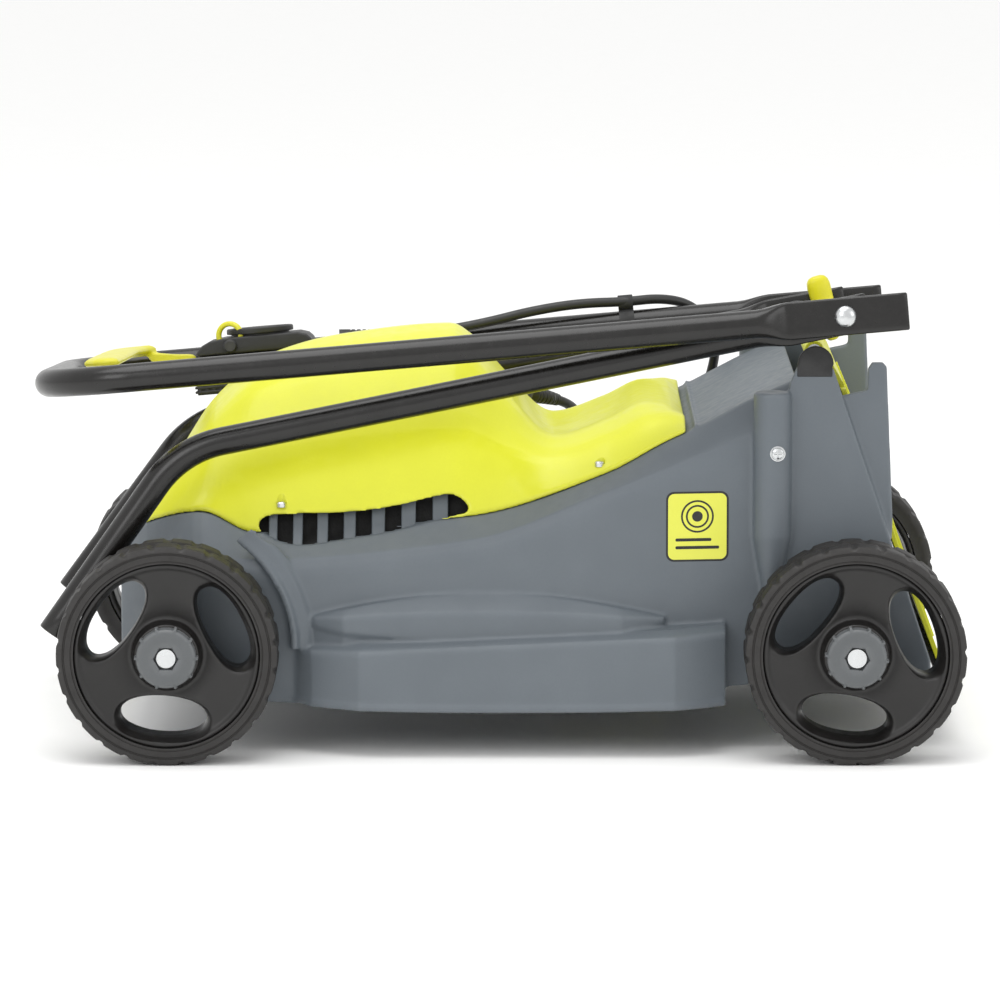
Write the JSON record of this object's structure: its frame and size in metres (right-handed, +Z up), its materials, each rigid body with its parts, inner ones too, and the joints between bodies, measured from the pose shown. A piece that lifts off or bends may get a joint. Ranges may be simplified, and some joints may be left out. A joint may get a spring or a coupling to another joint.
{
  "type": "push lawn mower",
  "caption": "Corded rotary push mower with plastic deck, motor cover, rear discharge flap and ribbed wheels; its tube handle is folded and laid on top.",
  "frame": {"origin": "on the ground under the middle of the overall length and width", "axes": "+X to the rear, +Y to the mower's right, +Z up"},
  "size_m": [0.5927, 0.4, 0.2953],
  "materials": {
    "deck_grey": "injection moulded, fine grain",
    "cover_lime": "smooth moulded",
    "flap_lime": "smooth moulded",
    "foam_black": "open-cell foam",
    "label_yellow": "printed film",
    "black_plastic": "fine texture",
    "zinc_steel": "bright zinc plate",
    "spring_steel": "plain",
    "motor_bracket": "die cast",
    "stator_steel": "laminated",
    "capacitor_can": "plain",
    "shaft_steel": "ground",
    "fan_plastic": "moulded",
    "blade_steel": "painted, ground edges",
    "tyre_plastic": "moulded, semi-matte",
    "rim_plastic": "moulded, semi-matte",
    "bush_nylon": "plain",
    "cap_grey": "moulded",
    "tube_paint": "gloss powder coat",
    "knob_yellow": "moulded",
    "bail_yellow": "moulded",
    "switch_black": "fine texture",
    "cable_black": "smooth rubber sheath"
  },
  "bodies": {
    "deck": {"deck_shell": "deck_grey", "motor_cover": "cover_lime", "vent_foam": "foam_black", "side_sticker": "label_yellow", "flap_brackets": "black_plastic", "flap_pin": "zinc_steel", "flap_spring": "spring_steel", "socket_screws": "zinc_steel", "cover_screws": "zinc_steel", "front_axle": "zinc_steel", "rear_axle": "zinc_steel", "axle_clips": "zinc_steel", "motor_lower_bracket": "motor_bracket", "motor_upper_bracket": "motor_bracket", "motor_stator": "stator_steel", "motor_capacitor": "capacitor_can", "motor_cable": "cable_black", "cable_gland": "black_plastic"},
    "rotor": {"motor_shaft": "shaft_steel", "rotor_core": "stator_steel", "cooling_fan": "fan_plastic", "blade_carrier": "fan_plastic", "blade": "blade_steel", "blade_bolt": "zinc_steel"},
    "flap": {"rear_flap": "flap_lime", "flap_lip": "black_plastic"},
    "lower_handle_right": {"lower_tube_right": "tube_paint"},
    "upper_handle": {"upper_tube": "tube_paint", "pivot_bolts": "zinc_steel", "spacer_washers": "black_plastic", "switch_base": "switch_black", "switch_lid": "switch_black", "switch_disc": "switch_black", "mains_inlet": "switch_black", "switch_gland": "switch_black", "cord_hook": "knob_yellow", "cable_clip": "black_plastic", "handle_cable": "cable_black"},
    "lower_handle_left": {"lower_tube_left": "tube_paint"},
    "knob_left": {"wing_knob_left": "knob_yellow"},
    "knob_right": {"wing_knob_right": "knob_yellow"},
    "bail": {"bail_lever": "bail_yellow"},
    "lock": {"lock_button": "switch_black"},
    "front_left_wheel": {"front_left_tyre": "tyre_plastic", "front_left_rim": "rim_plastic", "front_left_bush": "bush_nylon", "front_left_hub_cap": "cap_grey"},
    "front_right_wheel": {"front_right_tyre": "tyre_plastic", "front_right_rim": "rim_plastic", "front_right_bush": "bush_nylon", "front_right_hub_cap": "cap_grey"},
    "rear_left_wheel": {"rear_left_tyre": "tyre_plastic", "rear_left_rim": "rim_plastic", "rear_left_bush": "bush_nylon", "rear_left_hub_cap": "cap_grey"},
    "rear_right_wheel": {"rear_right_tyre": "tyre_plastic", "rear_right_rim": "rim_plastic", "rear_right_bush": "bush_nylon", "rear_right_hub_cap": "cap_grey"}
  },
  "joints": [
    {"name": "front_left_roll", "type": "hinge", "parent": "deck", "child": "front_left_wheel", "pos_m": [-0.208, -0.17, 0.07], "axis": [0, 1, 0], "continuous": true},
    {"name": "front_right_roll", "type": "hinge", "parent": "deck", "child": "front_right_wheel", "pos_m": [-0.208, 0.17, 0.07], "axis": [0, 1, 0], "continuous": true},
    {"name": "rear_left_roll", "type": "hinge", "parent": "deck", "child": "rear_left_wheel", "pos_m": [0.227, -0.17, 0.07], "axis": [0, 1, 0], "continuous": true},
    {"name": "rear_right_roll", "type": "hinge", "parent": "deck", "child": "rear_right_wheel", "pos_m": [0.227, 0.17, 0.07], "axis": [0, 1, 0], "continuous": true},
    {"name": "rotor_spin", "type": "hinge", "parent": "deck", "child": "rotor", "pos_m": [-0.03, 0, 0.1], "axis": [0, 0, 1], "continuous": true},
    {"name": "flap_lift", "type": "hinge", "parent": "deck", "child": "flap", "pos_m": [0.203, 0, 0.254], "axis": [0, -1, 0], "range_deg": [0, 70], "stiffness_Nm_per_rad": 0.05, "springref_deg": -34.38},
    {"name": "handle_lift", "type": "slide", "parent": "deck", "child": "lower_handle_right", "axis": [0, 0, 1], "range_m": [0, 0.35]},
    {"name": "handle_fold", "type": "hinge", "parent": "lower_handle_right", "child": "upper_handle", "pos_m": [0.221, 0.15413, 0.25174], "axis": [0, 0.9954, -0.0958], "range_deg": [0, 173]},
    {"name": "left_fold", "type": "hinge", "parent": "upper_handle", "child": "lower_handle_left", "pos_m": [0.221, -0.1425, 0.2803], "axis": [0, 0.9954, -0.0958], "range_deg": [-173, 0]},
    {"name": "knob_left_turn", "type": "hinge", "parent": "lower_handle_left", "child": "knob_left", "pos_m": [0.221, -0.11762, 0.2779], "axis": [0, 0.9954, -0.0958], "continuous": true},
    {"name": "knob_right_turn", "type": "hinge", "parent": "lower_handle_right", "child": "knob_right", "pos_m": [0.221, 0.12924, 0.25413], "axis": [0, 0.9954, -0.0958], "range_deg": [-8, 8]},
    {"name": "bail_squeeze", "type": "hinge", "parent": "upper_handle", "child": "bail", "pos_m": [-0.2075, 0.12524, 0.21257], "axis": [0, -0.9954, 0.0958], "range_deg": [0, 8], "stiffness_Nm_per_rad": 0.6, "springref_deg": -20.05},
    {"name": "lock_press", "type": "slide", "parent": "upper_handle", "child": "lock", "axis": [0, 0.9954, -0.0958], "range_m": [0, 0.003], "stiffness_N_per_m": 400, "springref_m": -0.003}
  ],
  "couplings": [
    {"joint": "left_fold", "follows": "handle_fold", "ratio": -1}
  ]
}
